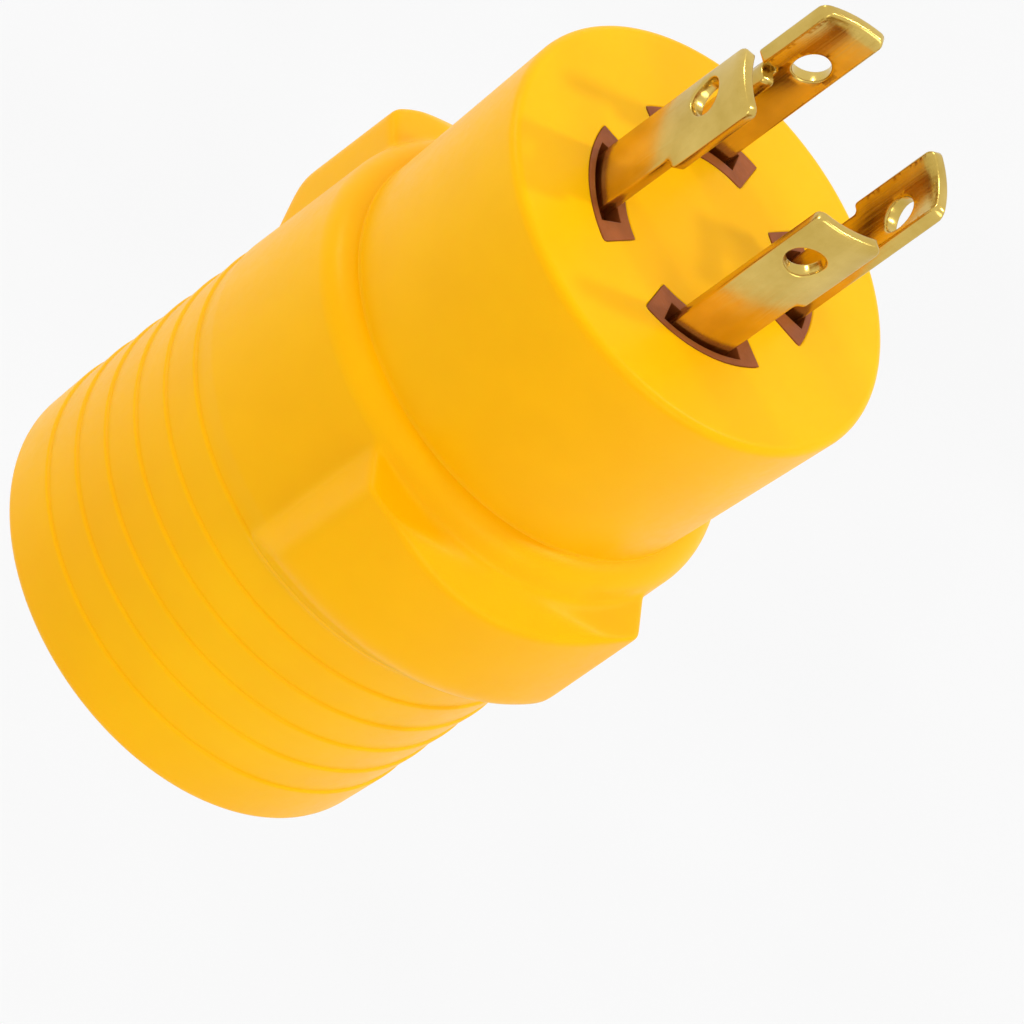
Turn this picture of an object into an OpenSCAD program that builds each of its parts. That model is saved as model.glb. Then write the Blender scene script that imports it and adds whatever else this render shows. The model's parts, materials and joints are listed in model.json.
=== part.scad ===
// Compact moulded power adapter: four-blade locking plug at the top, four-slot straight-blade
// socket at the bottom. It stands on its socket face. Units are millimetres, +Z is up and out
// through the plug blades, and the two grip ears point along +Y and -Y.

/* [Part to show] */
// Which sub-part to draw

/* [Jacket] */
// Height from the socket face to the plug face
body_height = 78.7; // [70:0.1:90]
// Radius of the main body
body_radius = 25.75; // [22:0.05:30]
// Radius of the socket face rounding
foot_round = 1.2; // [0.5:0.1:3]
// Height where the shoulder starts to round over
shoulder_start = 50.8; // [45:0.1:60]
// Radius of the shoulder rounding
shoulder_round = 3.0; // [1:0.1:5]
// Radius of the plug barrel just above the shoulder
barrel_low_radius = 23.0; // [20:0.1:25]
// Radius of the plug barrel at its face
barrel_top_radius = 24.0; // [20:0.1:25]
// Radius of the plug face rounding
face_round = 1.0; // [0.3:0.1:2]
// Height of the first moulded step ring
ring_first = 7.3; // [4:0.1:12]
// Spacing of the moulded step rings
ring_pitch = 4.8; // [3:0.1:8]
// Number of moulded step rings
ring_count = 6; // [0:1:8]
// Depth of each moulded step ring
ring_step = 0.28; // [0.1:0.02:0.6]

/* [Grip ears] */
// Radius of the outside of the ears
ear_radius = 30.1; // [27:0.1:36]
// Half of the width of an ear
ear_half_width = 17.3; // [10:0.1:22]
// Height where an ear leaves the body
ear_low = 30.8; // [25:0.1:35]
// Height where an ear reaches its full size
ear_full = 35.6; // [30:0.1:40]
// Height where the flat front facet starts
ear_facet_low = 48.0; // [42:0.1:52]
// Height where the flat front facet ends
ear_facet_top = 50.3; // [45:0.1:56]
// Distance of the straight crease on an ear from the axis
ear_crease = 26.7; // [24:0.1:30]
// Height where the front of an ear meets the body
ear_top = 51.1; // [48:0.1:58]

/* [Socket] */
// Distance of each line slot from the axis
line_slot_offset = 16.55; // [12:0.05:20]
// Distance of the neutral slot from the axis
neutral_slot_offset = 12.1; // [8:0.05:16]
// Distance of the ground slot from the axis
ground_slot_offset = 15.7; // [12:0.05:20]
// Width of a slot boss
boss_width = 8.9; // [6:0.1:12]
// Length of a slot boss
boss_length = 17.6; // [14:0.1:22]
// Corner radius of a slot boss
boss_corner = 1.0; // [0.3:0.1:3]
// Width of a slot throat
throat_width = 4.2; // [2:0.1:6]
// Length of a slot throat
throat_length = 12.95; // [10:0.05:16]
// Width of the chamfer around each slot mouth
mouth_chamfer = 0.9; // [0.3:0.1:1.5]
// Width of the ground boss
ground_boss_width = 12.4; // [9:0.1:16]
// Width of the ground opening
ground_opening = 7.8; // [5:0.1:10]
// Distance from the arc centre of the ground opening to its flat side
ground_flat = 3.4; // [2:0.1:5]
// Radius of the inner socket carrier
carrier_radius = 22.85; // [20:0.05:24]
// Thickness of the jacket over the socket face
front_wall = 3.0; // [2:0.1:5]
// Height of the back of the socket carrier
carrier_back = 26.0; // [22:0.1:32]
// Thickness of the contact cover
cover_thickness = 2.1; // [1.5:0.1:4]

/* [Contacts] */
// Thickness of the contact copper
leaf_thickness = 0.8; // [0.4:0.05:1.5]
// Length of a leaf along the slot
leaf_length = 9.5; // [6:0.1:12]
// Distance of the leaf middle from the slot middle, towards the ground side
leaf_shift = 1.55; // [0:0.05:3]
// Height of the leaf bend axis
leaf_root = 22.6; // [18:0.1:26]
// Distance of the leaf bend axis from the slot middle plane
leaf_root_offset = 2.0; // [1.2:0.1:3]
// Height of the front end of a leaf
leaf_front = 5.6; // [4:0.1:9]
// Height where two leaves come closest
leaf_touch = 10.5; // [8:0.1:14]
// Width of the split between the two fingers of a leaf
finger_split = 0.25; // [0.1:0.05:0.6]
// Half of the width of the pocket behind a slot
pocket_half = 3.2; // [2.5:0.1:3.6]
// Wall of the ground contact sleeve
sleeve_wall = 0.7; // [0.4:0.05:1.2]

/* [Plug blades] */
// Outer radius of the blades about the axis
blade_outer = 13.4; // [11:0.1:16]
// Thickness of the blades
blade_thickness = 1.6; // [1:0.1:2.5]
// Length of the blades in front of the plug face
blade_reach = 21.2; // [15:0.1:25]
// Extra length of the ground blade, so that it meets its contact first
ground_blade_extra = 2.0; // [0:0.1:4]
// Distance from the plug face to the locking step
blade_step = 9.8; // [5:0.1:12]
// Angle from the middle of a blade to its plain edge
blade_plain_angle = 15.0; // [10:0.5:25]
// Angle from the middle of a blade to the edge of its shank
blade_shank_angle = 16.5; // [8:0.5:20]
// Angle from the middle of a blade to the edge of its head
blade_head_angle = 21.5; // [12:0.5:28]
// Diameter of the detent hole
detent_diameter = 4.0; // [2:0.1:5]
// Distance from the plug face to the detent hole
detent_height = 15.6; // [8:0.1:18]
// Angle from the middle of a blade to its detent hole
detent_angle = -1.0; // [-8:0.5:8]
// Chamfer around the tip of a blade
tip_chamfer = 0.5; // [0.2:0.05:0.8]
// Inner radius of the ground blade leg
ground_leg_inner = 10.2; // [7:0.1:12]
// Distance from the plug face to the end of the ground blade leg
ground_leg_reach = 13.0; // [8:0.1:18]
// Outer radius of the arc pads around the blades
pad_outer = 14.5; // [13:0.1:17]
// Inner radius of the arc pads around the blades
pad_inner = 10.0; // [7:0.1:11]
// Half angle of an arc pad
pad_half_angle = 30.0; // [22:0.5:40]
// Angle from the middle of a blade to the middle of its pad
pad_shift = 2.0; // [-6:0.5:10]
// Radius of the inner plug carrier
plug_carrier_radius = 19.4; // [17:0.1:22]
// Thickness of the jacket over the plug carrier
plug_wall = 2.5; // [1.5:0.1:4]

/* [Wires] */
// Distance of each wire from the axis
wire_offset = 14.5; // [12:0.1:17]
// Radius of a bare conductor
conductor_radius = 1.6; // [1:0.1:2.5]
// Outer radius of the insulation
insulation_radius = 2.5; // [2:0.1:3.5]
// Outer radius of a crimp barrel
crimp_radius = 2.6; // [2:0.1:3.5]
// Length of a crimp barrel
crimp_length = 7.0; // [4:0.5:10]

/* [Cover screws] */
// Distance of each screw from the axis along X
screw_x = 9.5; // [6:0.1:12]
// Distance of each screw from the axis along Y
screw_y = 10.0; // [6:0.1:14]
// Length of a screw
screw_length = 10.0; // [6:0.5:14]
// Radius of a screw shank
screw_radius = 1.45; // [1:0.05:2]

/* [Hidden] */
$fn = 96;
gap = 0.04;
cover_back = carrier_back + cover_thickness;
core_low = cover_back + gap;
core_top = 57.9;
core_radius = 20.9;
plug_low = 58.0;
plug_top = body_height - plug_wall;
blade_inner = blade_outer - blade_thickness;
blade_mid = (blade_outer + blade_inner) / 2;
socket_crimp_low = cover_back + 0.9;
plug_crimp_low = core_top - 1.5 - crimp_length;
insulation_low = socket_crimp_low + crimp_length + 0.2;
insulation_top = plug_crimp_low - 0.2;
base_top = 25.6;
base_low = base_top - leaf_thickness;
// Middle of each straight slot
slots = [[line_slot_offset, 0], [-line_slot_offset, 0], [0, neutral_slot_offset]];

function arc(cx, cz, r, from, to, steps) =
    [for (i = [0:steps]) [cx + r * cos(from + (to - from) * i / steps),
                          cz + r * sin(from + (to - from) * i / steps)]];

// One moulded step ring: the wall grows slightly towards the plug, then drops back
function ring(z) = [[body_radius - 0.02, z - 0.12], [body_radius, z],
                    [body_radius - ring_step, z + 0.12]];

// ---------------------------------------------------------------- shared shapes

// Rectangle with rounded corners, centred
module round_rect(w, l, r) {
    union() {
        square([w - 2 * r, l], center = true);
        square([w, l - 2 * r], center = true);
        for (x = [-1, 1], y = [-1, 1])
            translate([x * (w / 2 - r), y * (l / 2 - r)]) circle(r, $fn = 32);
    }
}

// D-shaped outline: round towards +Y, flat side at -flat, arc centre at the origin
module d_shape(width, flat, corner) {
    union() {
        circle(width / 2);
        translate([-width / 2, -flat + corner]) square([width, flat - corner]);
        translate([-width / 2 + corner, -flat]) square([width - 2 * corner, flat]);
        for (x = [-1, 1])
            translate([x * (width / 2 - corner), -flat + corner]) circle(corner, $fn = 32);
    }
}

// Chamfered slot mouth, wide at z = 0 and narrowing upwards with mitred corners
module slot_mouth(w, l, c) {
    intersection() {
        rotate([90, 0, 0]) linear_extrude(l + 4 * c, center = true)
            polygon([[-w / 2 - c - 0.1, -0.1], [w / 2 + c + 0.1, -0.1], [w / 2, c], [-w / 2, c]]);
        rotate([90, 0, 90]) linear_extrude(w + 4 * c, center = true)
            polygon([[-l / 2 - c - 0.1, -0.1], [l / 2 + c + 0.1, -0.1], [l / 2, c], [-l / 2, c]]);
    }
}

// Centre of the round side of the ground opening
ground_arc_y = -ground_slot_offset + 0.35;

module ground_place() {
    translate([0, ground_arc_y, 0]) children();
}

// Ring sector between two radii and two angles, standing on z = low
module sector(inner, outer, from, to, low, height) {
    rotate([0, 0, from]) rotate_extrude(angle = to - from)
        translate([inner, low]) square([outer - inner, height]);
}

module boss_windows(low, height) {
    for (s = slots) translate([s[0], s[1], low])
        linear_extrude(height) round_rect(boss_width, boss_length, boss_corner);
    ground_place() translate([0, 0, low]) linear_extrude(height)
        d_shape(ground_boss_width, ground_flat + 2.25, boss_corner);
}

// ---------------------------------------------------------------- jacket

module jacket_outside() {
    rotate_extrude() polygon(concat(
        [[0, 0]],
        arc(body_radius - ring_step - foot_round, foot_round, foot_round, -90, 0, 6),
        [for (i = [0:ring_count - 1]) each ring(ring_first + i * ring_pitch)],
        [[body_radius, ring_first + ring_count * ring_pitch - 2]],
        arc(body_radius - shoulder_round, shoulder_start, shoulder_round, 0, 78, 8),
        [[barrel_low_radius, shoulder_start + shoulder_round + 0.25]],
        arc(barrel_top_radius - face_round, body_height - face_round, face_round, 0, 90, 5),
        [[0, body_height]]));
}

module ear() {
    intersection() {
        rotate_extrude() polygon([
            [0, ear_low], [body_radius - 0.3, ear_low], [ear_radius, ear_full],
            [ear_radius, ear_top + 1], [0, ear_top + 1]]);
        translate([-ear_half_width, 0, 0]) rotate([90, 0, 90])
            linear_extrude(2 * ear_half_width)
                polygon([[15, ear_low - 1], [ear_radius + 0.2, ear_low - 1],
                         [ear_radius + 0.2, ear_facet_low],
                         [ear_crease, ear_facet_top], [19, ear_top], [15, ear_top]]);
    }
}

module jacket_inside() {
    rotate_extrude() polygon([
        [0, front_wall], [carrier_radius + gap, front_wall],
        [carrier_radius + gap, cover_back + gap], [core_radius + gap, cover_back + gap],
        [core_radius + gap, core_top], [plug_carrier_radius + gap, core_top],
        [plug_carrier_radius + gap, plug_top + gap], [0, plug_top + gap]]);
}

module outer_jacket() {
    color([0.99, 0.70, 0.07]) difference() {
        union() {
            jacket_outside();
            ear();
            mirror([0, 1, 0]) ear();
        }
        jacket_inside();
        boss_windows(-1, front_wall + 2);
        for (a = [0:90:270])
            sector(pad_inner, pad_outer, a + pad_shift - pad_half_angle,
                   a + pad_shift + pad_half_angle, plug_top - 1, plug_wall + 2);
    }
}

// ---------------------------------------------------------------- socket insert

module socket_carrier() {
    color([0.42, 0.13, 0.03]) difference() {
        union() {
            translate([0, 0, front_wall + gap])
                cylinder(h = carrier_back - front_wall - gap, r = carrier_radius);
            boss_windows(0, front_wall + 1);
        }
        for (s = slots) translate([s[0], s[1], 0]) {
            slot_mouth(throat_width, throat_length, mouth_chamfer);
            translate([-throat_width / 2, -throat_length / 2, -1])
                cube([throat_width, throat_length, carrier_back + 2]);
            translate([-pocket_half, -leaf_shift - leaf_length / 2 - 0.2, leaf_front - 0.6])
                cube([2 * pocket_half, leaf_length + 0.4, carrier_back]);
        }
        ground_place() {
            translate([0, 0, -1]) linear_extrude(carrier_back + 2)
                d_shape(ground_opening, ground_flat, 0.4);
            translate([0, 0, -0.01]) intersection() {
                cylinder(h = mouth_chamfer, r1 = ground_opening / 2 + mouth_chamfer,
                         r2 = ground_opening / 2);
                translate([-9, 0, -1]) cube([18, 9, 4]);
            }
            translate([0, -ground_flat / 2, 0])
                slot_mouth(ground_opening, ground_flat, mouth_chamfer);
            translate([0, 0, 4.9]) linear_extrude(carrier_back)
                d_shape(ground_opening + 2 * sleeve_wall + 0.1,
                        ground_flat + sleeve_wall + 0.05, 0.6);
        }
        for (x = [-1, 1], y = [-1, 1])
            translate([x * screw_x, y * screw_y, cover_back - screw_length - 0.5])
                cylinder(h = screw_length + 2, r = screw_radius + 0.03);
    }
}

module contact_cover() {
    color([0.36, 0.11, 0.03]) difference() {
        translate([0, 0, carrier_back + gap])
            cylinder(h = cover_thickness - gap, r = carrier_radius);
        for (a = [0:90:270]) rotate([0, 0, a])
            translate([wire_offset - 0.7, -2.6, carrier_back - 1]) cube([1.4, 5.2, 5]);
        for (x = [-1, 1], y = [-1, 1]) translate([x * screw_x, y * screw_y, 0]) {
            translate([0, 0, carrier_back - 1]) cylinder(h = 5, r = screw_radius + 0.2);
            translate([0, 0, cover_back - 1.5]) cylinder(h = 3, r = 2.85);
        }
    }
}

module cover_screws() {
    color([0.75, 0.76, 0.78])
    for (x = [-1, 1], y = [-1, 1])
        translate([x * screw_x, y * screw_y, 0]) difference() {
            union() {
                translate([0, 0, cover_back - screw_length])
                    cylinder(h = screw_length - 0.2, r = screw_radius);
                translate([0, 0, cover_back - screw_length - 0.4])
                    cylinder(h = 0.5, r1 = 0.6, r2 = screw_radius);
                translate([0, 0, cover_back - 1.5]) cylinder(h = 1.45, r = 2.8);
            }
            for (a = [0, 90]) rotate([0, 0, a])
                translate([-1.7, -0.3, cover_back - 0.95]) cube([3.4, 0.6, 2]);
        }
}

// ---------------------------------------------------------------- contacts

// Crimp barrel for a wire, on the axis of its wire
module crimp(low) {
    translate([wire_offset, 0, low]) difference() {
        cylinder(h = crimp_length, r = crimp_radius, $fn = 48);
        translate([0, 0, 0.8]) cylinder(h = crimp_length, r = conductor_radius, $fn = 48);
    }
}

// Base of a straight-slot contact: back plate, two sills that seat the leaf roots, and
// the tail with its crimp barrel. The slot is at [x, y] and the tail leaves at angle a.
module contact_base(x, y, a) {
    color([0.72, 0.40, 0.16]) union() {
        translate([x, y - leaf_shift, 0]) difference() {
            union() {
                translate([-pocket_half + 0.1, -leaf_length / 2, base_low])
                    cube([2 * pocket_half - 0.2, leaf_length, leaf_thickness]);
                for (s = [-1, 1])
                    translate([s * leaf_root_offset - 0.85, -leaf_length / 2, leaf_root])
                        cube([1.7, leaf_length, base_low - leaf_root + 0.1]);
            }
            for (s = [-1, 1])
                translate([s * leaf_root_offset, 0, leaf_root]) rotate([90, 0, 0])
                    cylinder(h = leaf_length + 2, r = leaf_thickness / 2 + 0.05,
                             center = true, $fn = 48);
        }
        rotate([0, 0, a]) {
            translate([wire_offset - 0.6, -2.4, base_low])
                cube([1.2, 4.8, socket_crimp_low - base_low + 0.4]);
            crimp(socket_crimp_low);
        }
    }
}

// Half section of one leaf, in X and Z, for the side with positive X. The front flares
// open to guide a plug blade in, and the leaf comes closest to its partner behind that.
module leaf_section() {
    polygon([[leaf_root_offset + 0.4, leaf_root], [leaf_root_offset + 0.3, leaf_root - 2.6],
             [1.45, 14.6], [1.08, leaf_touch + 0.9], [0.97, leaf_touch - 0.3],
             [1.05, leaf_touch - 1.3], [1.32, leaf_touch - 2.5], [2.05, leaf_front + 0.1],
             [1.33, leaf_front - 0.1], [0.62, leaf_touch - 2.7], [0.28, leaf_touch - 1.5],
             [0.17, leaf_touch - 0.3], [0.26, leaf_touch + 0.9], [0.64, 14.5],
             [leaf_root_offset - 0.5, leaf_root - 2.6], [leaf_root_offset - 0.4, leaf_root]]);
}

module leaf_at(x, y, side) {
    color([0.76, 0.42, 0.15]) translate([x, y - leaf_shift, 0])
        mirror([side < 0 ? 1 : 0, 0, 0]) difference() {
            union() {
                rotate([90, 0, 0]) linear_extrude(leaf_length, center = true) leaf_section();
                translate([leaf_root_offset, 0, leaf_root]) rotate([90, 0, 0])
                    cylinder(h = leaf_length, r = leaf_thickness / 2, center = true, $fn = 48);
            }
            translate([-1, leaf_shift - 1.1, leaf_front - 1])
                cube([5, finger_split, 12]);
        }
}

// U-shaped sleeve around the ground opening, with a slit that lets it grip the ground pin
module ground_contact() {
    color([0.62, 0.34, 0.14]) union() {
        ground_place() difference() {
            translate([0, 0, 5]) linear_extrude(base_top - 5)
                d_shape(ground_opening + 2 * sleeve_wall, ground_flat + sleeve_wall, 0.6);
            translate([0, 0, 4]) linear_extrude(base_low - 4)
                d_shape(ground_opening - 0.3, ground_flat - 0.15, 0.3);
            translate([-6, -ground_flat + 0.3, 4]) cube([4, 0.5, base_low - 6]);
        }
        rotate([0, 0, -90]) {
            translate([wire_offset - 0.6, -2.4, base_low])
                cube([1.2, 4.8, socket_crimp_low - base_low + 0.4]);
            crimp(socket_crimp_low);
        }
    }
}

module contact_base_line_1() { contact_base(line_slot_offset, 0, 0); }
module contact_base_line_2() { contact_base(-line_slot_offset, 0, 180); }
module contact_base_neutral() { contact_base(0, neutral_slot_offset, 90); }
module leaf_line_1_outer() { leaf_at(line_slot_offset, 0, 1); }
module leaf_line_1_inner() { leaf_at(line_slot_offset, 0, -1); }
module leaf_line_2_outer() { leaf_at(-line_slot_offset, 0, -1); }
module leaf_line_2_inner() { leaf_at(-line_slot_offset, 0, 1); }
module leaf_neutral_left() { leaf_at(0, neutral_slot_offset, -1); }
module leaf_neutral_right() { leaf_at(0, neutral_slot_offset, 1); }

// ---------------------------------------------------------------- core and wires

// Pre-moulded core that holds the wires before the jacket is moulded over them
module inner_core() {
    color([0.20, 0.20, 0.21]) difference() {
        translate([0, 0, core_low]) cylinder(h = core_top - core_low - gap, r = core_radius);
        for (a = [0:90:270]) rotate([0, 0, a]) {
            translate([wire_offset, 0, core_low - 1])
                cylinder(h = core_top + 2, r = crimp_radius + gap, $fn = 48);
            sector(blade_inner - 0.2, blade_outer + 0.2, -blade_plain_angle - 1,
                   blade_shank_angle + 1, plug_crimp_low - 1, 40);
        }
    }
}

module conductor(a) {
    color([0.80, 0.45, 0.20]) rotate([0, 0, a])
        translate([wire_offset, 0, socket_crimp_low + 1])
            cylinder(h = plug_crimp_low + crimp_length - socket_crimp_low - 2,
                     r = conductor_radius - 0.02, $fn = 48);
}

module insulation(a) {
    rotate([0, 0, a]) translate([wire_offset, 0, insulation_low]) difference() {
        cylinder(h = insulation_top - insulation_low, r = insulation_radius, $fn = 48);
        translate([0, 0, -1]) cylinder(h = 60, r = conductor_radius, $fn = 48);
    }
}

module conductor_line_1() { conductor(0); }
module conductor_line_2() { conductor(180); }
module conductor_neutral() { conductor(90); }
module conductor_ground() { conductor(270); }
module insulation_line_1() { color([0.05, 0.05, 0.05]) insulation(0); }
module insulation_line_2() { color([0.70, 0.06, 0.04]) insulation(180); }
module insulation_neutral() { color([0.92, 0.92, 0.90]) insulation(90); }
module insulation_ground() { color([0.05, 0.45, 0.12]) insulation(270); }

// ---------------------------------------------------------------- plug

module plug_carrier() {
    color([0.55, 0.28, 0.17]) difference() {
        union() {
            translate([0, 0, plug_low])
                cylinder(h = plug_top - plug_low, r = plug_carrier_radius);
            for (a = [0:90:270])
                sector(pad_inner, pad_outer, a + pad_shift - pad_half_angle,
                       a + pad_shift + pad_half_angle, plug_top - 1, plug_wall + 1);
        }
        for (a = [0:90:270]) {
            sector(blade_inner - gap, blade_outer + gap, a - blade_plain_angle - 0.3,
                   a + blade_shank_angle + 0.3, plug_low - 1, 40);
            sector(blade_inner - 0.6, blade_outer + 0.4, a - blade_plain_angle - 4,
                   a + blade_head_angle + 1, body_height - 2, 4);
        }
        rotate([0, 0, 270]) translate([0, 0, plug_low - 1]) ground_leg(40, gap);
        rotate([0, 0, 270]) translate([0, 0, body_height - 2]) ground_leg(4, 0.5);
    }
}

// Leg on the locking side of the ground blade, running straight in towards the axis
module ground_leg(height, extra) {
    rotate([0, 0, blade_shank_angle])
        translate([ground_leg_inner - extra, -blade_thickness - extra, 0])
            cube([blade_mid - ground_leg_inner + 2 * extra, blade_thickness + 2 * extra, height]);
}

// Tail, shank and head of one arc-section locking blade, its middle on +X
module blade(extra = 0) {
    tip = body_height + blade_reach + extra;
    step = body_height + blade_step;
    difference() {
        union() {
            sector(blade_inner, blade_outer, -blade_plain_angle, blade_shank_angle,
                   plug_crimp_low, step - plug_crimp_low + 1);
            rotate([0, 0, -blade_plain_angle])
                rotate_extrude(angle = blade_plain_angle + blade_head_angle)
                    polygon([[blade_inner, step], [blade_outer, step],
                             [blade_outer, tip - 2 * tip_chamfer],
                             [blade_outer - tip_chamfer, tip], [blade_inner + tip_chamfer, tip],
                             [blade_inner, tip - 2 * tip_chamfer]]);
            crimp(plug_crimp_low);
        }
        translate([0, 0, body_height + detent_height]) rotate([0, 90, detent_angle])
            cylinder(h = 20, r = detent_diameter / 2, $fn = 48);
        translate([wire_offset, 0, plug_crimp_low - 1])
            cylinder(h = crimp_length + 1.5, r = conductor_radius, $fn = 48);
    }
}

module blade_line_1() { color([0.84, 0.66, 0.24]) blade(); }
module blade_neutral() { color([0.84, 0.66, 0.24]) rotate([0, 0, 90]) blade(); }
module blade_line_2() { color([0.84, 0.66, 0.24]) rotate([0, 0, 180]) blade(); }
module blade_ground() {
    color([0.84, 0.66, 0.24]) rotate([0, 0, 270]) union() {
        blade(ground_blade_extra);
        translate([0, 0, plug_low + 1]) ground_leg(body_height + ground_leg_reach - plug_low - 1, 0);
    }
}

// ---------------------------------------------------------------- assembly

outer_jacket();
socket_carrier();
contact_cover();
cover_screws();
contact_base_line_1();
contact_base_line_2();
contact_base_neutral();
leaf_line_1_outer();
leaf_line_1_inner();
leaf_line_2_outer();
leaf_line_2_inner();
leaf_neutral_left();
leaf_neutral_right();
ground_contact();
inner_core();
plug_carrier();
blade_line_1();
blade_line_2();
blade_neutral();
blade_ground();
conductor_line_1();
conductor_line_2();
conductor_neutral();
conductor_ground();
insulation_line_1();
insulation_line_2();
insulation_neutral();
insulation_ground();
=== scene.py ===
"""Looks for the compact moulded power adapter. The mesh builders work in millimetres, and
make_object turns their points into metres."""
import json
import math

import bpy
import numpy as np
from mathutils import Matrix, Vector
from mathutils.geometry import delaunay_2d_cdt


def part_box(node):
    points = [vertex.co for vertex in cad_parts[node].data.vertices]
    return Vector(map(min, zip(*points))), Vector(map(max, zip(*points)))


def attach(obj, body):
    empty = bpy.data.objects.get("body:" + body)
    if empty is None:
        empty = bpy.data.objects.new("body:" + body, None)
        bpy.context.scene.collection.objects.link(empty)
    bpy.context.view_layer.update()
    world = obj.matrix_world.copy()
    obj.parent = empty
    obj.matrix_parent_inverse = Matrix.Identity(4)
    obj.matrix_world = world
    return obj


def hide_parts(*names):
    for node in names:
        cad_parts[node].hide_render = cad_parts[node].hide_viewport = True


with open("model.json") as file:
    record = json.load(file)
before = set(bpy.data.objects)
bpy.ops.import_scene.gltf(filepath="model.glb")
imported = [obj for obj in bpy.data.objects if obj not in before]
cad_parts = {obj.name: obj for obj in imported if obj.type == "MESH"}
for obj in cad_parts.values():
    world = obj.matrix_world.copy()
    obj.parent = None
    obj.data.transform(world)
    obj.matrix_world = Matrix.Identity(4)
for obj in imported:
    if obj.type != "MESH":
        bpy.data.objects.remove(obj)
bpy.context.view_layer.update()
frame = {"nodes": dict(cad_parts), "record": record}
record = frame["record"]
MM = 0.001
LEAF_NODES = [n for n in frame["nodes"] if n.startswith("leaf_")]
BLADE_TURNS = {"blade_line_1": 0, "blade_neutral": 90, "blade_line_2": 180, "blade_ground": 270}


def mm_box(node):
    """Low and high corner of a CAD node's box, in millimetres."""
    lo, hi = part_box(node)
    return [v / MM for v in lo], [v / MM for v in hi]


# ------------------------------------------------------------------ sizes, as in the CAD source
BODY_R = mm_box("outer_jacket")[1][0]
HEIGHT = mm_box("outer_jacket")[1][2]
FOOT_ROUND = 1.2
RINGS = [7.3 + 4.8 * i for i in range(6)]
RING_STEP = 0.28
SHOULDER_Z, SHOULDER_ROUND, SHOULDER_SWEEP = 50.8, 3.0, 78.0
CREASE_Z = SHOULDER_Z + SHOULDER_ROUND + 0.25
BARREL_LOW, BARREL_TOP, FACE_ROUND = 23.0, 24.0, 1.0
EAR_R, EAR_HALF = 30.1, 17.3
EAR_LOW, EAR_FULL = 30.8, 35.6
EAR_FACET_LOW, EAR_FACET_TOP, EAR_TOP = 48.0, 50.3, 51.1
EAR_CREASE_Y, EAR_TOP_Y = 26.7, 19.0
BOSS_W, BOSS_L, BOSS_CORNER = 8.9, 17.6, 1.0
GROUND_BOSS_W, GROUND_BOSS_FLAT, GROUND_ARC_Y = 12.4, 5.65, -15.35
SLOTS = [(16.55, 0.0), (-16.55, 0.0), (0.0, 12.1)]
PAD_IN, PAD_OUT, PAD_HALF, PAD_SHIFT = 10.0, 14.5, 30.0, 2.0
FRONT_WALL, PLUG_WALL = 3.0, 2.5
# Radii of the hollow around the socket carrier, the core and the plug carrier, and the
# heights at which one gives way to the next
CARRIER_HOLLOW, CORE_HOLLOW, PLUG_HOLLOW = 22.89, 20.94, 19.44
CORE_LOW, CORE_HIGH = 28.14, 57.9
BLADE_OUT, BLADE_T = 13.4, 1.6
BLADE_MID = BLADE_OUT - BLADE_T / 2
BLADE_ROOT_Z = HEIGHT - 6.0
STEP_Z = HEIGHT + 9.8
DETENT_Z, DETENT_R = HEIGHT + 15.6, 2.0
PLAIN_A, SHANK_A, HEAD_A, DETENT_A = -15.0, 16.5, 21.5, -1.0
LEG_IN, LEG_TOP, LEG_BEND_R, LEG_SLIT = 10.2, HEIGHT + 13.0, 1.3, 0.45
TIP_CHAMFER, TIP_THINNING = 1.1, 0.34
LEAF_MID = [(1.69, 5.6), (0.97, 7.9), (0.665, 9.1), (0.57, 10.2), (0.67, 11.4), (1.045, 14.55),
            (1.90, 20.0), (2.0, 22.8)]
LEAF_T, LEAF_LENGTH, LEAF_SHIFT = 0.8, 9.5, 1.55
SPLIT_AT, SPLIT_W, SPLIT_LENGTH = 0.45, 0.25, 11.2
# Where the rays that find the ears and the shoulder start, in a section through the axis
RAY_R, RAY_Z = 20.0, 44.0


# ------------------------------------------------------------------ mesh helpers
def make_object(name, verts, faces, material, sharp_deg):
    """A smooth-shaded object from millimetre vertices, with sharp edges above an angle."""
    mesh = bpy.data.meshes.new(name)
    mesh.from_pydata([(x * MM, y * MM, z * MM) for x, y, z in verts], [], faces)
    mesh.validate()
    mesh.update()
    obj = bpy.data.objects.new(name, mesh)
    bpy.context.scene.collection.objects.link(obj)
    obj.data.materials.append(material)
    mesh.polygons.foreach_set("use_smooth", [True] * len(mesh.polygons))
    mesh.set_sharp_from_angle(angle=math.radians(sharp_deg))
    return obj


def smooth_max(a, b, k):
    """The larger of two fields, with their crossing rounded over about k millimetres."""
    h = np.clip(k - np.abs(a - b), 0.0, None) / k
    return np.maximum(a, b) + h * h * h * k / 6.0


def smooth_min(a, b, k):
    return -smooth_max(-a, -b, k)


def arc_points(cx, cy, r, a0, a1, n):
    """n + 1 points on an arc, from a0 to a1 degrees."""
    return [(cx + r * math.cos(math.radians(a0 + (a1 - a0) * i / n)),
             cy + r * math.sin(math.radians(a0 + (a1 - a0) * i / n))) for i in range(n + 1)]


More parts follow.
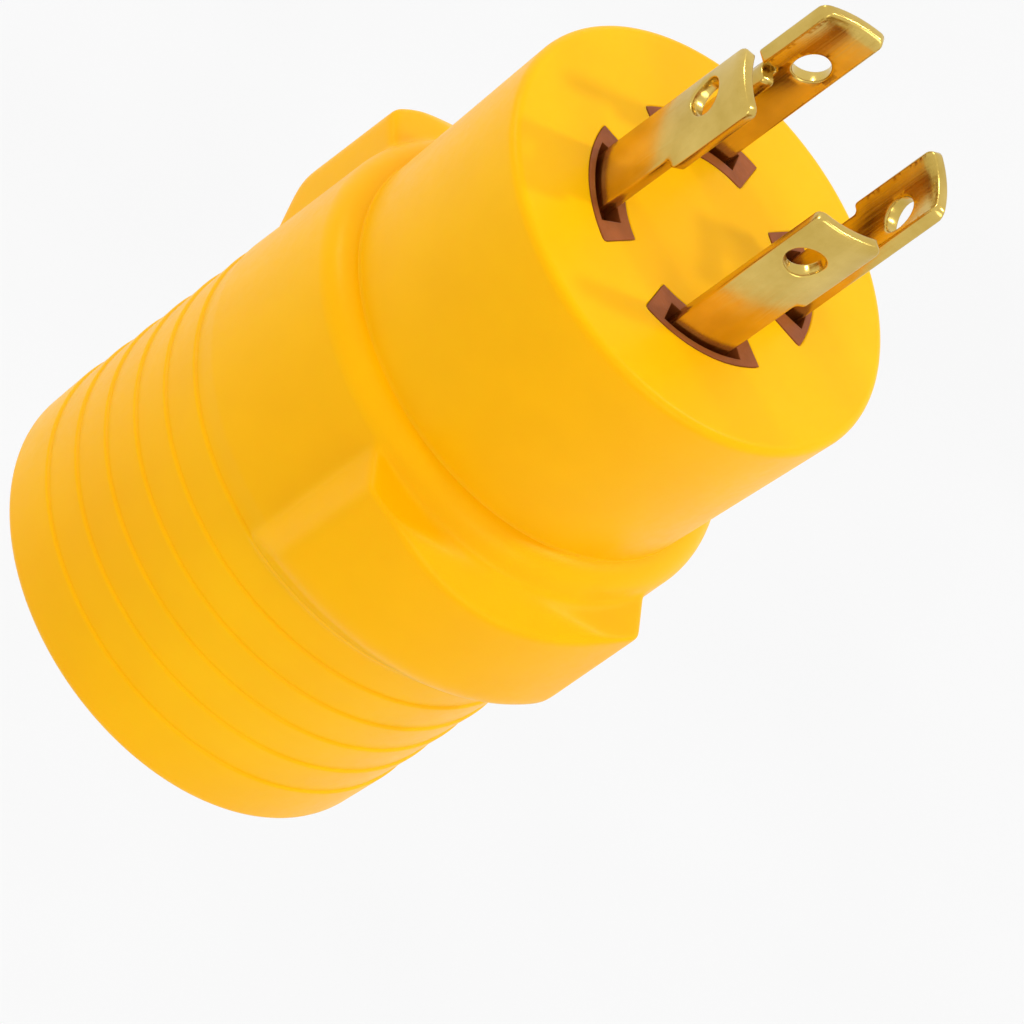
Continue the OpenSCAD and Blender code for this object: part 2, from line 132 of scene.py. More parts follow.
# ------------------------------------------------------------------ jacket
def body_outline():
    """Heights and radii along the outline of the round body: rim, step rings, shoulder, barrel
    and the rim of the plug face."""
    low_r = BODY_R - RING_STEP
    pts = arc_points(low_r - FOOT_ROUND, FOOT_ROUND, FOOT_ROUND, -90, 0, 12)
    for ring in RINGS:
        pts += [(BODY_R - 0.02, ring - 0.35), (BODY_R - 0.02, ring - 0.15),
                (BODY_R - 0.10, ring - 0.05), (low_r + 0.02, ring + 0.06),
                (low_r, ring + 0.22), (low_r + 0.05, ring + 0.9)]
    pts.append((BODY_R, RINGS[-1] + 2.8))
    pts += arc_points(BODY_R - SHOULDER_ROUND, SHOULDER_Z, SHOULDER_ROUND, 0, SHOULDER_SWEEP, 24)
    pts += [(BARREL_LOW, CREASE_Z), (BARREL_LOW + 0.01, CREASE_Z + 0.25)]
    pts += arc_points(BARREL_TOP - FACE_ROUND, HEIGHT - FACE_ROUND, FACE_ROUND, 0, 90, 12)
    return [z for _, z in pts], [r for r, _ in pts]


OUTLINE_Z, OUTLINE_R = body_outline()


def body_radius_at(z):
    return np.interp(z, OUTLINE_Z, OUTLINE_R)


def section_plane(y, z, p, q):
    """Signed distance outside the line from p to q in the (y, z) section."""
    dy, dz = q[0] - p[0], q[1] - p[1]
    return ((y - p[0]) * dz - (z - p[1]) * dy) / math.hypot(dy, dz)


def ear_field(r, theta, z):
    """Below zero inside the two grip ears, which stand on +Y and -Y."""
    x, y = r * np.abs(np.cos(theta)), r * np.abs(np.sin(theta))
    rear = section_plane(r, z, (BODY_R - 0.3, EAR_LOW), (EAR_R, EAR_FULL))
    facet = section_plane(y, z, (EAR_R, EAR_FACET_LOW), (EAR_CREASE_Y, EAR_FACET_TOP))
    top = section_plane(y, z, (EAR_CREASE_Y, EAR_FACET_TOP), (EAR_TOP_Y, EAR_TOP))
    d = smooth_max(r - EAR_R, facet, 0.9)
    d = smooth_max(d, rear, 1.8)
    d = smooth_max(d, top, 0.7)
    return smooth_max(d, x - EAR_HALF - 0.12, 1.7)


def skin_field(r, theta, z, body_r):
    """Below zero inside the jacket: the body joined to the ears by soft fillets."""
    high = np.hypot(np.clip(r - BODY_R + SHOULDER_ROUND, 0, None),
                    np.clip(z - SHOULDER_Z, 0, None)) - SHOULDER_ROUND
    flare = (BARREL_TOP - BARREL_LOW) / (HEIGHT - FACE_ROUND - CREASE_Z)
    barrel = r - BARREL_LOW - (z - CREASE_Z) * flare
    base = np.where(z > RAY_Z + 1.0, smooth_min(high, barrel, 0.22), r - body_r)
    # The ears' field fades out below and above them, so that their fillets end there
    present = np.clip((z - 29.0) / 2.0, 0, 1) * np.clip((54.4 - z) / 1.2, 0, 1)
    ear = ear_field(r, theta, z) + (1 - present) * 3.0
    across = np.abs(r * np.cos(theta))
    fillet = np.interp(z, [30, 44, 50], [1.2, 1.3, 2.4])
    fillet = np.minimum(fillet, np.interp(across, [8.0, 17.0], [2.4, 0.9]))
    return smooth_min(base, ear, fillet)


def skin_rows():
    """Rows of the side: heights up to the rays' start, rays over the ears and the shoulder,
    then heights again along the barrel."""
    low = list(FOOT_ROUND + FOOT_ROUND * np.sin(np.radians(np.linspace(-90, 0, 9))))
    for ring in RINGS:
        low += [ring + d for d in (-2.4, -1.0, -0.4, -0.2, -0.08, 0.0, 0.08, 0.2, 0.45, 1.2)]
    low += list(np.arange(29.6, 37.8, 0.3)) + list(np.arange(37.8, RAY_Z - 0.3, 0.9))
    low = sorted(low)
    kept = [low[0]]
    for v in low[1:]:
        if v - kept[-1] > 0.02:
            kept.append(v)
    top_angle = math.degrees(math.atan2(CREASE_Z + 0.15 - RAY_Z, BARREL_LOW - RAY_R))
    rays = list(np.arange(0, 18, 2.0)) + list(np.arange(18, 34, 1.0)) \
        + list(np.arange(34, 62, 0.5)) + list(np.arange(62, top_angle, 0.8))
    high = [54.4, 54.8, 55.6, 57.0] + list(np.linspace(59, HEIGHT - FACE_ROUND - 0.4, 14))
    high += list(HEIGHT - FACE_ROUND + FACE_ROUND * np.sin(np.radians(np.linspace(0, 90, 9))))
    return kept, rays, high


def skin_grid(theta):
    """Radius and height of every mesh point of the side, by halving along each row's line."""
    low, rays, high = skin_rows()
    start_r = [0.0] * len(low) + [RAY_R] * len(rays)
    start_z = low + [RAY_Z] * len(rays)
    dir_r = [1.0] * len(low) + [math.cos(math.radians(a)) for a in rays]
    dir_z = [0.0] * len(low) + [math.sin(math.radians(a)) for a in rays]
    sr, sz = np.array(start_r)[:, None], np.array(start_z)[:, None]
    dr, dz = np.array(dir_r)[:, None], np.array(dir_z)[:, None]
    tt = np.broadcast_to(theta[None, :], (len(start_r), len(theta)))
    near, far = np.full(tt.shape, 0.5), np.full(tt.shape, 36.0)
    for _ in range(42):
        mid = 0.5 * (near + far)
        r, z = sr + mid * dr, sz + mid * dz
        inside = skin_field(r, tt, z, body_radius_at(z)) < 0
        near = np.where(inside, mid, near)
        far = np.where(inside, far, mid)
    r, z = sr + near * dr, sz + near * dz
    hz = np.repeat(np.array(high)[:, None], len(theta), axis=1)
    return np.vstack([r, body_radius_at(hz)]), np.vstack([z, hz])


def side_angles():
    """Directions of the mesh columns, closer together over the side walls of the ears."""
    quarter = np.concatenate([np.arange(0, 44, 1.5), np.arange(44, 60, 0.3),
                              np.arange(60, 90, 0.75)])
    full = np.concatenate([quarter, 180 - quarter, 180 + quarter, 360 - quarter, [90, 270]])
    full = np.unique(np.round(full % 360, 3))
    return np.radians(full)


def fill(loops, flip, inner=()):
    """Triangles of a flat region. loops holds (points, vertex numbers) of the outer loop and
    of each hole, and inner holds (point, vertex number) of the points between them."""
    pts, edges, ids = [], [], []
    for loop, numbers in loops:
        start, count = len(pts), len(numbers)
        pts += [Vector((a, b)) for a, b in loop]
        ids += numbers
        edges += [(start + i, start + (i + 1) % count) for i in range(count)]
    for point, number in inner:
        pts.append(Vector(point))
        ids.append(number)
    out = delaunay_2d_cdt(pts, edges, [], 2, 1e-7)
    flat, faces, orig = out[0], out[2], out[3]
    outlines = [np.array(loop) for loop, _ in loops]
    tris = []
    for face in faces:
        cx = sum(flat[i][0] for i in face) / len(face)
        cy = sum(flat[i][1] for i in face) / len(face)
        if in_region(cx, cy, outlines):
            tri = [ids[orig[i][0]] for i in face]
            tris.append(tri[::-1] if flip else tri)
    return tris


def in_region(x, y, outlines):
    """Inside the first outline and outside the others."""
    return inside_polygon(x, y, outlines[0]) \
        and not any(inside_polygon(x, y, hole) for hole in outlines[1:])


def inside_polygon(x, y, poly):
    px, py = poly[:, 0], poly[:, 1]
    qx, qy = np.roll(px, -1), np.roll(py, -1)
    cross = (py > y) != (qy > y)
    with np.errstate(divide="ignore", invalid="ignore"):
        at = px + (y - py) * (qx - px) / (qy - py)
    return bool(np.count_nonzero(cross & (x < at)) % 2)


def rounded_rect(cx, cy, w, l, r, n=6):
    pts = []
    for sx, sy, a in ((1, 1, 0), (-1, 1, 90), (-1, -1, 180), (1, -1, 270)):
        pts += arc_points(cx + sx * (w / 2 - r), cy + sy * (l / 2 - r), r, a, a + 90, n)
    return pts


def d_outline(cx, cy, w, flat, r, n=6):
    """Round towards +Y, flat side at cy - flat."""
    pts = arc_points(cx, cy, w / 2, 0, 180, 28)
    pts += arc_points(cx - w / 2 + r, cy - flat + r, r, 180, 270, n)
    pts += arc_points(cx + w / 2 - r, cy - flat + r, r, 270, 360, n)
    return pts


def sector_outline(r0, r1, a0, a1, corner=0.35):
    """Ring sector with lightly rounded corners, counter-clockwise."""
    pts = []

    def add(r, a):
        pts.append((r * math.cos(math.radians(a)), r * math.sin(math.radians(a))))

    da0, da1 = math.degrees(corner / r0), math.degrees(corner / r1)
    for i in range(25):
        add(r1, a0 + da1 + (a1 - a0 - 2 * da1) * i / 24)
    for r, edge, sweep, side in ((r1, a1, da1, -1), (r0, a1, da0, 1)):
        if side < 0:
            add(r - corner * 0.3, edge - sweep * 0.3)
            add(r - corner, edge)
        else:
            add(r + corner, edge)
            add(r + corner * 0.3, edge - sweep * 0.3)
    for i in range(21):
        add(r0, a1 - da0 - (a1 - a0 - 2 * da0) * i / 20)
    add(r0 + corner * 0.3, a0 + da0 * 0.3)
    add(r0 + corner, a0)
    add(r1 - corner, a0)
    add(r1 - corner * 0.3, a0 + da1 * 0.3)
    return pts


def offset_loop(pts, d):
    """The loop moved along its own normals: outwards for a counter-clockwise loop and d > 0."""
    p = np.array(pts, float)
    before, after = np.roll(p, 1, axis=0), np.roll(p, -1, axis=0)
    t1, t2 = p - before, after - p
    t1 /= np.linalg.norm(t1, axis=1)[:, None] + 1e-12
    t2 /= np.linalg.norm(t2, axis=1)[:, None] + 1e-12
    n1 = np.stack([t1[:, 1], -t1[:, 0]], 1)
    n2 = np.stack([t2[:, 1], -t2[:, 0]], 1)
    n = n1 + n2
    n /= np.linalg.norm(n, axis=1)[:, None] + 1e-12
    scale = 1.0 / np.clip((n * n1).sum(1), 0.5, 1.0)
    return p + n * (d * scale)[:, None]


def jacket_mesh(material):
    """The whole jacket as one closed skin: side, ears, both faces with their windows, and the
    hollow inside."""
    theta = side_angles()
    radius, zz = skin_grid(theta)
    x, y = radius * np.cos(theta)[None, :], radius * np.sin(theta)[None, :]
    verts = [(a, b, c) for a, b, c in zip(x.ravel(), y.ravel(), zz.ravel())]
    faces = []
    n, m = len(theta), len(radius)
    for i in range(m - 1):
        for j in range(n):
            k = (j + 1) % n
            faces.append((i * n + j, i * n + k, (i + 1) * n + k, (i + 1) * n + j))

    def flat_loop(ids):
        return [verts[i][:2] for i in ids], ids

    def circle(r, z):
        start = len(verts)
        verts.extend((r * math.cos(a), r * math.sin(a), z) for a in theta)
        return list(range(start, start + n))

    def join(lower, upper, flip):
        """Quads between two loops with the same number of points."""
        for q in range(len(lower)):
            w = (q + 1) % len(lower)
            quad = (lower[q], lower[w], upper[w], upper[q])
            faces.append(quad if flip else quad[::-1])

    def cap(z, row, holes, down, inner_z, inner_r):
        """Flat end with windows: eased edges, window walls, and the inside of the wall."""
        ring = circle(inner_r, inner_z)
        outer_loops, inner_loops = [flat_loop([row * n + j for j in range(n)])], [flat_loop(ring)]
        easing = ((0.22, 0.0), (0.10, 0.05), (0.02, 0.16), (0.0, 0.4), (0.0, abs(inner_z - z)))
        for hole in holes:
            previous = None
            for ease, depth in easing:
                start = len(verts)
                verts.extend((px, py, z + depth if down else z - depth)
                             for px, py in offset_loop(hole, ease))
                ids = list(range(start, len(verts)))
                if previous is None:
                    outer_loops.append(flat_loop(ids))
                else:
                    join(previous, ids, down)
                previous = ids
            inner_loops.append(flat_loop(previous))
        faces.extend(fill(outer_loops, down))
        faces.extend(fill(inner_loops, not down))
        return ring

    boss = [rounded_rect(sx, sy, BOSS_W, BOSS_L, BOSS_CORNER) for sx, sy in SLOTS]
    boss.append(d_outline(0, GROUND_ARC_Y, GROUND_BOSS_W, GROUND_BOSS_FLAT, BOSS_CORNER))
    pads = [sector_outline(PAD_IN, PAD_OUT, a + PAD_SHIFT - PAD_HALF, a + PAD_SHIFT + PAD_HALF)
            for a in (0, 90, 180, 270)]
    lower = cap(0.0, 0, boss, True, FRONT_WALL, CARRIER_HOLLOW)
    last = cap(HEIGHT, m - 1, pads, False, HEIGHT - PLUG_WALL, PLUG_HOLLOW)
    for r, z in ((CARRIER_HOLLOW, CORE_LOW), (CORE_HOLLOW, CORE_LOW), (CORE_HOLLOW, CORE_HIGH),
                 (PLUG_HOLLOW, CORE_HIGH)):
        upper = circle(r, z)
        join(lower, upper, False)
        lower = upper
    join(lower, last, False)
    return make_object("jacket_skin", verts, faces, material, 40)


# ------------------------------------------------------------------ bevelled sheet parts
def sheet_part(outline, holes, thickness, ease, place, inner_points):
    """Verts and faces of a sheet with eased edges. outline is counter-clockwise in (s, z), and
    place(s, z, t) gives the point for a height t above the middle of the sheet."""
    verts, faces = [], []
    half = thickness / 2
    ladder = [(ease * (1 - math.sin(math.radians(d))),
               half - ease + ease * math.cos(math.radians(d))) for d in (0, 30, 60, 90)]
    ladder += [(inset, -t) for inset, t in ladder[::-1]]
    top_loops, bottom_loops = [], []
    for number, loop in enumerate([outline] + list(holes)):
        is_outline = number == 0
        previous = None
        for inset, t in ladder:
            pts = offset_loop(loop, -inset if is_outline else inset)
            ids = list(range(len(verts), len(verts) + len(pts)))
            verts.extend(place(s, z, t) for s, z in pts)
            if previous is None:
                top_loops.append((pts, ids))
            else:
                for q in range(len(ids)):
                    w = (q + 1) % len(ids)
                    quad = (previous[q], ids[q], ids[w], previous[w])
                    faces.append(quad if is_outline else quad[::-1])
            previous = ids
        bottom_loops.append((pts, previous))
    for loops, t, flip in ((top_loops, half, False), (bottom_loops, -half, True)):
        outlines = [np.array(p) for p, _ in loops]
        inner = []
        for point in inner_points:
            if in_region(*point, outlines):
                inner.append((point, len(verts)))
                verts.append(place(*point, t))
        faces.extend(fill(loops, flip, inner))
    return verts, faces


def round_corners(points, radii, n=5):
    """Replaces each corner of a polygon by an arc of its radius."""
    out = []
    count = len(points)
    for i in range(count):
        p = np.array(points[i], float)
        a = np.array(points[i - 1], float)
        b = np.array(points[(i + 1) % count], float)
        u, v = a - p, b - p
        u /= np.linalg.norm(u)
        v /= np.linalg.norm(v)
        angle = math.acos(max(-1, min(1, float(u @ v))))
        r = radii[i]
        cut = r / math.tan(angle / 2)
        start, end = p + u * cut, p + v * cut
        bis = u + v
        bis /= np.linalg.norm(bis)
        centre = p + bis * (r / math.sin(angle / 2))
        a0 = math.atan2(*(start - centre)[::-1])
        a1 = math.atan2(*(end - centre)[::-1])
        d = (a1 - a0 + math.pi) % (2 * math.pi) - math.pi
        for k in range(n + 1):
            w = a0 + d * k / n
            out.append((centre[0] + r * math.cos(w), centre[1] + r * math.sin(w)))
    return out


def densify(points, step):
    """Adds points along the long edges of a loop, so that it can be bent."""
    out = []
    for i, p in enumerate(points):
        q = points[(i + 1) % len(points)]
        d = math.hypot(q[0] - p[0], q[1] - p[1])
        k = max(1, int(math.ceil(d / step)))
        out += [(p[0] + (q[0] - p[0]) * j / k, p[1] + (q[1] - p[1]) * j / k) for j in range(k)]
    return out


def grid_points(s0, s1, z0, z1, step):
    """Inner points for a sheet, a touch off a square grid so that no four lie on one circle."""
    pts = []
    for i, s in enumerate(np.arange(s0 + step / 2, s1, step)):
        for j, z in enumerate(np.arange(z0 + step / 2, z1, step)):
            pts.append((s + 0.07 * step * math.sin(7.1 * i + 3.3 * j),
                        z + 0.07 * step * math.cos(5.3 * i + 9.7 * j)))
    return pts


def blade_mesh(name, turn, tip, leg, material):
    """An arc-section locking blade. s runs round the arc from the middle of the blade, and the
    ground blade's leg is the same sheet bent inward at its root."""
    to_s = math.radians(1) * BLADE_MID
    plain, shank, head = PLAIN_A * to_s, SHANK_A * to_s, HEAD_A * to_s
    foot = BLADE_ROOT_Z
    bend_s = shank - LEG_BEND_R - 0.2
    quarter = LEG_BEND_R * math.pi / 2
    leg_end = bend_s + quarter + (BLADE_MID - LEG_BEND_R - LEG_IN)
    if leg:
        corners = [(plain, foot), (leg_end, foot), (leg_end, LEG_TOP), (bend_s + 0.5, LEG_TOP),
                   (bend_s + 0.5, LEG_TOP + LEG_SLIT), (head, LEG_TOP + LEG_SLIT), (head, tip),
                   (plain, tip)]
        radii = [0.3, 0.3, 0.55, 0.18, 0.18, 0.35, 0.9, 0.9]
    else:
        corners = [(plain, foot), (shank, foot), (shank, STEP_Z), (head, STEP_Z), (head, tip),
                   (plain, tip)]
        radii = [0.3, 0.3, 0.45, 0.45, 0.9, 0.9]
    outline = densify(round_corners(corners, radii), 0.8)
    hole = arc_points(DETENT_A * to_s, DETENT_Z, DETENT_R, 0, 360, 40)[:-1]

    def place(s, z, t):
        if leg and z < LEG_TOP + 0.2 and s > bend_s:
            along = s - bend_s
            if along < quarter:
                turned = along / LEG_BEND_R
                radial = BLADE_MID - LEG_BEND_R + (LEG_BEND_R + t) * math.cos(turned)
                tangent = (LEG_BEND_R + t) * math.sin(turned)
            else:
                radial = BLADE_MID - LEG_BEND_R - (along - quarter)
                tangent = LEG_BEND_R + t
            angle = turn + bend_s / BLADE_MID
        else:
            over = max(0.0, z - tip + TIP_CHAMFER) / TIP_CHAMFER
            radial = BLADE_MID + t * (1 - TIP_THINNING * over ** 1.6)
            tangent = 0.0
            angle = turn + s / BLADE_MID
        return (radial * math.cos(angle) - tangent * math.sin(angle),
                radial * math.sin(angle) + tangent * math.cos(angle), z)

    verts, faces = sheet_part(outline, [hole], BLADE_T, 0.22, place,
                              grid_points(plain, leg_end if leg else head, foot, tip, 0.62))
    return make_object(name, verts, faces, material, 50)


def smooth_curve(points, per=14):
    """Points along a curve through the given ones, with its running length."""
    p = np.array(points, float)
    tangent = np.gradient(p, axis=0)
    out = []
    for i in range(len(p) - 1):
        for k in range(per):
            u = k / per
            h = (2 * u**3 - 3 * u**2 + 1, u**3 - 2 * u**2 + u, -2 * u**3 + 3 * u**2, u**3 - u**2)
            out.append(h[0] * p[i] + h[1] * tangent[i] + h[2] * p[i + 1] + h[3] * tangent[i + 1])
    out.append(p[-1])
    out = np.array(out)
    run = np.concatenate([[0], np.cumsum(np.linalg.norm(np.diff(out, axis=0), axis=1))])
    return out, run


def leaf_mesh(node, x0, y0, side, material):
    """A split contact leaf: sprung sheet that flares at the front and pinches behind it. u runs
    along the leaf from its front to its root."""
    curve, run = smooth_curve(LEAF_MID)
    direction = np.gradient(curve, axis=0)
    direction /= np.linalg.norm(direction, axis=1)[:, None]
    total = run[-1]
    half = LEAF_LENGTH / 2
    cut = sorted([side * SPLIT_AT, side * (SPLIT_AT + SPLIT_W)])
    corners = [(-half, 0), (cut[0], 0), (cut[0], SPLIT_LENGTH), (cut[1], SPLIT_LENGTH), (cut[1], 0),
               (half, 0), (half, total), (-half, total)]
    radii = [0.9, 0.25, 0.1, 0.1, 0.25, 0.9, 0.2, 0.2]
    outline = densify(round_corners(corners, radii), 0.5)

    def place(s, u, t):
        cx, cz = np.interp(u, run, curve[:, 0]), np.interp(u, run, curve[:, 1])
        dx, dz = np.interp(u, run, direction[:, 0]), np.interp(u, run, direction[:, 1])
        return (x0 + side * (cx + t * dz), y0 - LEAF_SHIFT + side * s, cz - t * dx)

    verts, faces = sheet_part(outline, [], LEAF_T, 0.14, place,
                              grid_points(-half, half, 0, total, 0.5))
    return make_object(node + "_sprung", verts, faces, material, 50)


# ------------------------------------------------------------------ materials
def new_material(name):
    """A node material, with what every builder below needs from it."""
    mat = bpy.data.materials.new(name)
    mat.use_nodes = True
    nodes, links = mat.node_tree.nodes, mat.node_tree.links
    bsdf = nodes["Principled BSDF"]
    coord = nodes.new("ShaderNodeTexCoord")
    return mat, nodes, links, bsdf, coord


def noise(nodes, links, coord, scale, detail=3.0, rough=0.5):
    """Noise in object space, whose scale is in features per metre."""
    n = nodes.new("ShaderNodeTexNoise")
    n.inputs["Scale"].default_value = scale
    n.inputs["Detail"].default_value = detail
    n.inputs["Roughness"].default_value = rough
    links.new(coord.outputs["Object"], n.inputs["Vector"])
    return n


def ramp(nodes, links, source, stops):
    r = nodes.new("ShaderNodeValToRGB")
    while len(r.color_ramp.elements) < len(stops):
        r.color_ramp.elements.new(0.5)
    for e, (pos, col) in zip(r.color_ramp.elements, stops):
        e.position = pos
        e.color = (*col, 1.0)
    links.new(source, r.inputs["Fac"])
    return r


def vary_roughness(nodes, links, source, bsdf, low, high):
    """Roughness that follows a noise."""
    m = nodes.new("ShaderNodeMapRange")
    m.inputs["From Min"].default_value = 0.3
    m.inputs["From Max"].default_value = 0.7
    m.inputs["To Min"].default_value = low
    m.inputs["To Max"].default_value = high
    links.new(source, m.inputs["Value"])
    links.new(m.outputs["Result"], bsdf.inputs["Roughness"])


def bump(nodes, links, source, strength, distance, normal=None):
    b = nodes.new("ShaderNodeBump")
    b.inputs["Strength"].default_value = strength
    b.inputs["Distance"].default_value = distance
    links.new(source, b.inputs["Height"])
    if normal is not None:
        links.new(normal, b.inputs["Normal"])
    return b


def vinyl_material():
    """Flexible moulded vinyl: warm yellow, faintly translucent, satin, with a fine spark grain."""
    mat, nodes, links, bsdf, coord = new_material("jacket_vinyl")
    large = noise(nodes, links, coord, 28.0, 2.0)
    cloud = noise(nodes, links, coord, 140.0, 3.0)
    grain = noise(nodes, links, coord, 3200.0, 2.0, 0.6)
    speck = noise(nodes, links, coord, 900.0, 4.0, 0.65)
    col = ramp(nodes, links, large.outputs["Fac"],
               [(0.30, (0.905, 0.430, 0.0)), (0.52, (0.920, 0.460, 0.0)),
                (0.74, (0.930, 0.490, 0.001))])
    mix = nodes.new("ShaderNodeMix")
    mix.data_type = "RGBA"
    mix.blend_type = "MULTIPLY"
    tone = ramp(nodes, links, cloud.outputs["Fac"],
                [(0.35, (0.975, 0.965, 0.93)), (0.65, (1.0, 1.0, 1.0))])
    mix.inputs["Factor"].default_value = 1.0
    links.new(col.outputs["Color"], mix.inputs["A"])
    links.new(tone.outputs["Color"], mix.inputs["B"])
    links.new(mix.outputs["Result"], bsdf.inputs["Base Color"])
    vary_roughness(nodes, links, speck.outputs["Fac"], bsdf, 0.34, 0.44)
    b1 = bump(nodes, links, grain.outputs["Fac"], 0.10, 0.00006)
    b2 = bump(nodes, links, cloud.outputs["Fac"], 0.06, 0.0006, b1.outputs["Normal"])
    links.new(b2.outputs["Normal"], bsdf.inputs["Normal"])
    bsdf.inputs["Subsurface Weight"].default_value = 0.22
    bsdf.inputs["Subsurface Radius"].default_value = (1.0, 0.45, 0.05)
    bsdf.inputs["Subsurface Scale"].default_value = 0.002
    bsdf.inputs["Specular IOR Level"].default_value = 0.15
    bsdf.inputs["Specular Tint"].default_value = (1.0, 0.80, 0.40, 1.0)
    return mat


PLASTIC_EDGE, METAL_EDGE = 0.00018, 0.00012  # radii of the eased edges, in metres


def eased_edges(nodes, radius):
    soft = nodes.new("ShaderNodeBevel")
    soft.samples = 6
    soft.inputs["Radius"].default_value = radius
    return soft.outputs["Normal"]


def plastic_material(name, dark, light, rough, grain_scale, grain_strength):
    """Hard moulded thermoset with a faint flow pattern and eased edges."""
    mat, nodes, links, bsdf, coord = new_material(name)
    flow = noise(nodes, links, coord, 220.0, 4.0, 0.6)
    grain = noise(nodes, links, coord, grain_scale, 2.0, 0.6)
    col = ramp(nodes, links, flow.outputs["Fac"], [(0.32, dark), (0.70, light)])
    links.new(col.outputs["Color"], bsdf.inputs["Base Color"])
    vary_roughness(nodes, links, flow.outputs["Fac"], bsdf, rough - 0.05, rough + 0.06)
    b = bump(nodes, links, grain.outputs["Fac"], grain_strength, 0.00008,
             eased_edges(nodes, PLASTIC_EDGE))
    links.new(b.outputs["Normal"], bsdf.inputs["Normal"])
    bsdf.inputs["Specular IOR Level"].default_value = 0.30
    bsdf.inputs["Specular Tint"].default_value = (1.0, 0.72, 0.50, 1.0)
    return mat


def metal_material(name, dark, light, rough, brush_along, brush_scale):
    """Stamped sheet metal: drawn lines along one axis, faint stains and eased edges."""
    mat, nodes, links, bsdf, coord = new_material(name)
    mapping = nodes.new("ShaderNodeMapping")
    scale = [brush_scale, brush_scale, brush_scale]
    scale[brush_along] = brush_scale * 0.02
    mapping.inputs["Scale"].default_value = scale
    links.new(coord.outputs["Object"], mapping.inputs["Vector"])
    lines = nodes.new("ShaderNodeTexNoise")
    lines.inputs["Scale"].default_value = 1.0
    lines.inputs["Detail"].default_value = 3.0
    links.new(mapping.outputs["Vector"], lines.inputs["Vector"])
    stain = noise(nodes, links, coord, 170.0, 4.0, 0.6)
    col = ramp(nodes, links, stain.outputs["Fac"], [(0.30, dark), (0.68, light)])
    links.new(col.outputs["Color"], bsdf.inputs["Base Color"])
    bsdf.inputs["Metallic"].default_value = 1.0
    vary_roughness(nodes, links, lines.outputs["Fac"], bsdf, rough - 0.05, rough + 0.08)
    b = bump(nodes, links, lines.outputs["Fac"], 0.12, 0.00005, eased_edges(nodes, METAL_EDGE))
    links.new(b.outputs["Normal"], bsdf.inputs["Normal"])
    return mat


def wire_material(name, dark, light, rough):
    """Extruded wire insulation."""
    mat, nodes, links, bsdf, coord = new_material(name)
    n = noise(nodes, links, coord, 700.0, 3.0)
    col = ramp(nodes, links, n.outputs["Fac"], [(0.3, dark), (0.7, light)])
    links.new(col.outputs["Color"], bsdf.inputs["Base Color"])
    vary_roughness(nodes, links, n.outputs["Fac"], bsdf, rough - 0.06, rough + 0.06)
    b = bump(nodes, links, n.outputs["Fac"], 0.1, 0.00005)
    links.new(b.outputs["Normal"], bsdf.inputs["Normal"])
    return mat


MATS = {
    "jacket_vinyl": vinyl_material(),
    "socket_brown": plastic_material("socket_brown", (0.105, 0.014, 0.003), (0.165, 0.024, 0.005),
                                     0.27, 2600.0, 0.05),
    "plug_brown": plastic_material("plug_brown", (0.20, 0.048, 0.009), (0.33, 0.085, 0.018),
                                   0.40, 1500.0, 0.45),
    "contact_copper": metal_material("contact_copper", (0.62, 0.22, 0.045), (0.80, 0.33, 0.085),
                                     0.26, 2, 5200.0),
    "blade_brass": metal_material("blade_brass", (0.54, 0.365, 0.075), (0.70, 0.50, 0.135),
                                  0.19, 2, 5200.0),
    "wire_copper": metal_material("wire_copper", (0.70, 0.30, 0.12), (0.85, 0.42, 0.20),
                                  0.30, 2, 4200.0),
    "screw_steel": metal_material("screw_steel", (0.48, 0.49, 0.50), (0.66, 0.67, 0.68),
                                  0.28, 0, 4200.0),
    "core_black": plastic_material("core_black", (0.018, 0.018, 0.020), (0.035, 0.035, 0.038),
                                   0.55, 1500.0, 0.3),
    "wire_black": wire_material("wire_black", (0.006, 0.006, 0.006), (0.015, 0.015, 0.015), 0.45),
    "wire_red": wire_material("wire_red", (0.42, 0.012, 0.008), (0.55, 0.020, 0.012), 0.42),
    "wire_white": wire_material("wire_white", (0.72, 0.72, 0.69), (0.83, 0.83, 0.80), 0.42),
    "wire_green": wire_material("wire_green", (0.005, 0.14, 0.022), (0.010, 0.20, 0.035), 0.42),
}
for part in record["subparts"]:
    obj = frame["nodes"][part["node"]]
    obj.data.materials.clear()
    obj.data.materials.append(MATS[part["material_slot"]])


# ------------------------------------------------------------------ pieces
jacket = jacket_mesh(MATS["jacket_vinyl"])
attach(jacket, "root")
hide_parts("outer_jacket")

for node, degrees in BLADE_TURNS.items():
    blade = blade_mesh(node + "_stamped", math.radians(degrees), mm_box(node)[1][2],
                       node == "blade_ground", MATS["blade_brass"])
    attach(blade, "root")
    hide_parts(node)

for node in LEAF_NODES:
    box_lo, box_hi = mm_box(node)
    leaf_x, leaf_y = (box_lo[0] + box_hi[0]) / 2, (box_lo[1] + box_hi[1]) / 2
    slot_x, slot_y = min(SLOTS, key=lambda c: math.hypot(c[0] - leaf_x,
                                                         c[1] - LEAF_SHIFT - leaf_y))
    leaf = leaf_mesh(node, slot_x, slot_y, 1 if leaf_x > slot_x else -1, MATS["contact_copper"])
    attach(leaf, node)
    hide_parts(node)


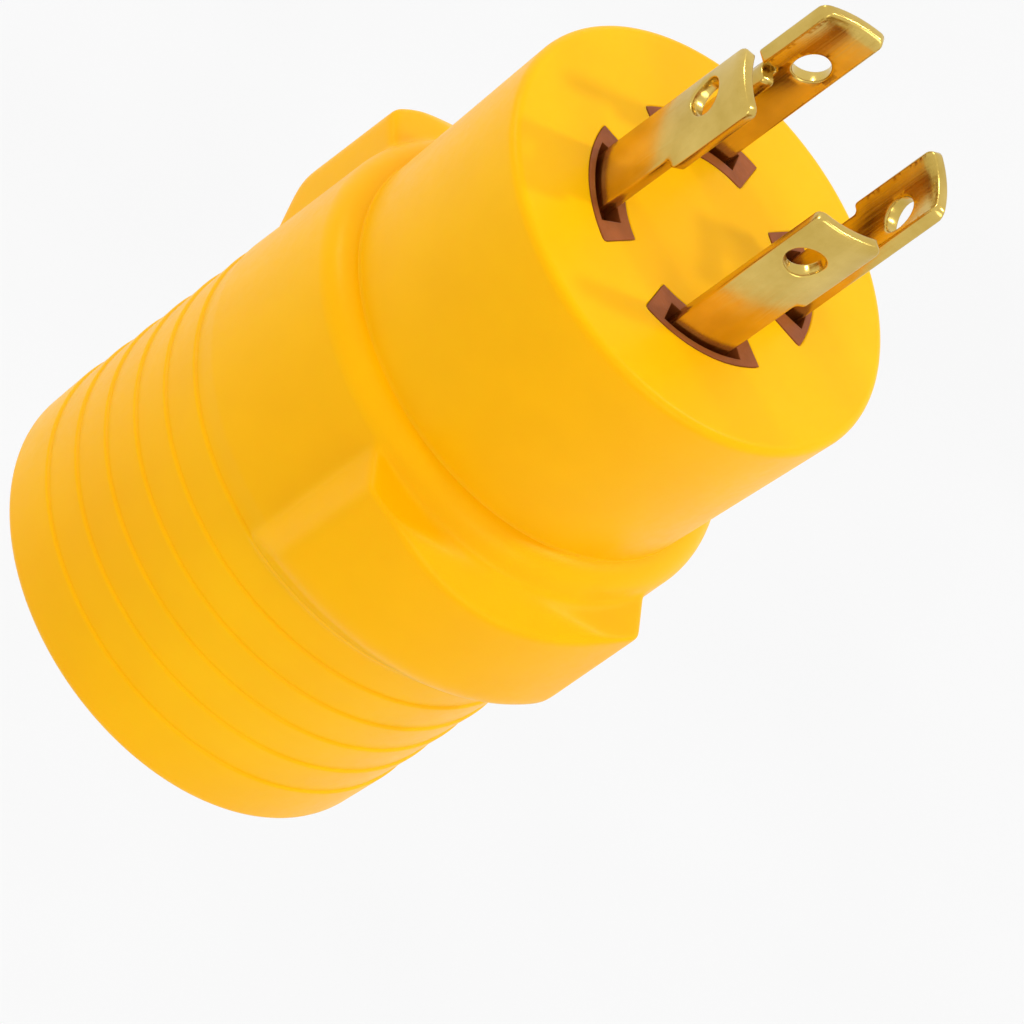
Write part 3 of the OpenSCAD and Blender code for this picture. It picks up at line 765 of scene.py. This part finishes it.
# ------------------------------------------------------------------ stage
def floor():
    """A pale floor, far enough below to leave the socket face open to view."""
    mat, nodes, links, bsdf, coord = new_material("pale_floor")
    n = noise(nodes, links, coord, 3.0, 2.0)
    col = ramp(nodes, links, n.outputs["Fac"],
               [(0.3, (0.965, 0.965, 0.965)), (0.7, (0.98, 0.98, 0.98))])
    links.new(col.outputs["Color"], bsdf.inputs["Base Color"])
    bsdf.inputs["Roughness"].default_value = 0.9
    bsdf.inputs["Specular IOR Level"].default_value = 0.1
    mesh = bpy.data.meshes.new("floor")
    s, z = 16.0, -4.0
    mesh.from_pydata([(-s, -s, z), (s, -s, z), (s, s, z), (-s, s, z)], [], [(0, 1, 2, 3)])
    obj = bpy.data.objects.new("floor", mesh)
    obj.data.materials.append(mat)
    bpy.context.scene.collection.objects.link(obj)


def light(name, where, target, size, power):
    """A round white area light that faces a point."""
    data = bpy.data.lights.new(name, "AREA")
    data.shape = "DISK"
    data.size = size
    data.energy = power
    obj = bpy.data.objects.new(name, data)
    obj.location = where
    direction = Vector(target) - Vector(where)
    obj.rotation_euler = direction.to_track_quat("-Z", "Y").to_euler()
    bpy.context.scene.collection.objects.link(obj)


floor()
light("key", (-0.35, 1.05, 0.75), (0, 0, 0.04), 0.60, 3.2)
light("top", (0.71, -0.74, 0.62), (0, 0, 0.05), 0.16, 2.6)
light("side", (-0.57, -0.10, 1.05), (0, 0, 0.05), 0.10, 3.4)
world = bpy.data.worlds.new("studio")
bpy.context.scene.world = world
world.use_nodes = True
world.node_tree.nodes["Background"].inputs["Color"].default_value = (1.0, 1.0, 1.0, 1.0)
world.node_tree.nodes["Background"].inputs["Strength"].default_value = 0.97
bpy.context.scene.view_settings.view_transform = "Standard"

# ------------------------------------------------------------------ camera
camera_data = bpy.data.cameras.new("camera")
camera_data.sensor_width = 36.0
camera_data.lens = 309.13
camera_data.clip_start = 0.05
camera_data.clip_end = 20.0
camera = bpy.data.objects.new("camera", camera_data)
camera.location = (0.422693, 0.557234, 0.579995)
camera.rotation_euler = [math.radians(a) for a in (36.8722, -40.1649, -177.4086)]
bpy.context.scene.collection.objects.link(camera)
bpy.context.scene.camera = camera
